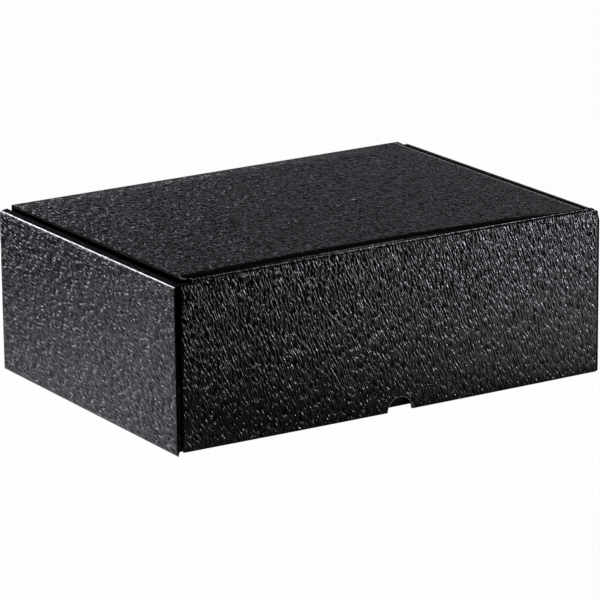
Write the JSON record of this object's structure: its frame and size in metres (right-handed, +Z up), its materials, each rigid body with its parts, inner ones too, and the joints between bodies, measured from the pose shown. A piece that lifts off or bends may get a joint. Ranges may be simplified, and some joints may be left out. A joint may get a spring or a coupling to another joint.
{
  "type": "folding presentation box",
  "caption": "Folding presentation box of black leather-grain laminated board, with a hinged lid, an outer front flap with a thumb notch, and doubled side walls.",
  "frame": {"origin": "centre of the underside of the closed box", "axes": "+Z up, -Y towards the front flap with the thumb notch, +X to the right seen from the front"},
  "size_m": [0.33, 0.23, 0.114],
  "materials": {
    "leather_grain_paper": "black embossed leather-grain paper, semi-gloss",
    "fluted_board": "dark fluted board core, raw at the cut edges",
    "black_liner": "plain matt black liner"
  },
  "bodies": {
    "tray": {"base_face_paper": "leather_grain_paper", "base_fluted_core": "fluted_board", "base_liner": "black_liner", "back_wall_face_paper": "leather_grain_paper", "back_wall_fluted_core": "fluted_board", "back_wall_liner": "black_liner", "front_wall_face_paper": "leather_grain_paper", "front_wall_fluted_core": "fluted_board", "front_wall_liner": "black_liner", "left_outer_wall_face_paper": "leather_grain_paper", "left_outer_wall_fluted_core": "fluted_board", "left_outer_wall_liner": "black_liner", "left_rim_face_paper": "leather_grain_paper", "left_rim_fluted_core": "fluted_board", "left_rim_liner": "black_liner", "left_inner_wall_face_paper": "leather_grain_paper", "left_inner_wall_fluted_core": "fluted_board", "left_inner_wall_liner": "black_liner", "left_front_tab_face_paper": "leather_grain_paper", "left_front_tab_fluted_core": "fluted_board", "left_front_tab_liner": "black_liner", "left_back_tab_face_paper": "leather_grain_paper", "left_back_tab_fluted_core": "fluted_board", "left_back_tab_liner": "black_liner", "right_outer_wall_face_paper": "leather_grain_paper", "right_outer_wall_fluted_core": "fluted_board", "right_outer_wall_liner": "black_liner", "right_rim_face_paper": "leather_grain_paper", "right_rim_fluted_core": "fluted_board", "right_rim_liner": "black_liner", "right_inner_wall_face_paper": "leather_grain_paper", "right_inner_wall_fluted_core": "fluted_board", "right_inner_wall_liner": "black_liner", "right_front_tab_face_paper": "leather_grain_paper", "right_front_tab_fluted_core": "fluted_board", "right_front_tab_liner": "black_liner", "right_back_tab_face_paper": "leather_grain_paper", "right_back_tab_fluted_core": "fluted_board", "right_back_tab_liner": "black_liner"},
    "lid": {"lid_face_paper": "leather_grain_paper", "lid_fluted_core": "fluted_board", "lid_liner": "black_liner"},
    "flap": {"front_flap_face_paper": "leather_grain_paper", "front_flap_fluted_core": "fluted_board", "front_flap_liner": "black_liner", "left_flap_ear_face_paper": "leather_grain_paper", "left_flap_ear_fluted_core": "fluted_board", "left_flap_ear_liner": "black_liner", "right_flap_ear_face_paper": "leather_grain_paper", "right_flap_ear_fluted_core": "fluted_board", "right_flap_ear_liner": "black_liner"}
  },
  "joints": [
    {"name": "lid_crease", "type": "hinge", "parent": "tray", "child": "lid", "pos_m": [0, 0.115, 0.114], "axis": [-1, 0, 0], "range_deg": [0, 175]},
    {"name": "flap_crease", "type": "hinge", "parent": "lid", "child": "flap", "pos_m": [0, -0.1135, 0.114], "axis": [-1, 0, 0], "range_deg": [0, 120]}
  ]
}
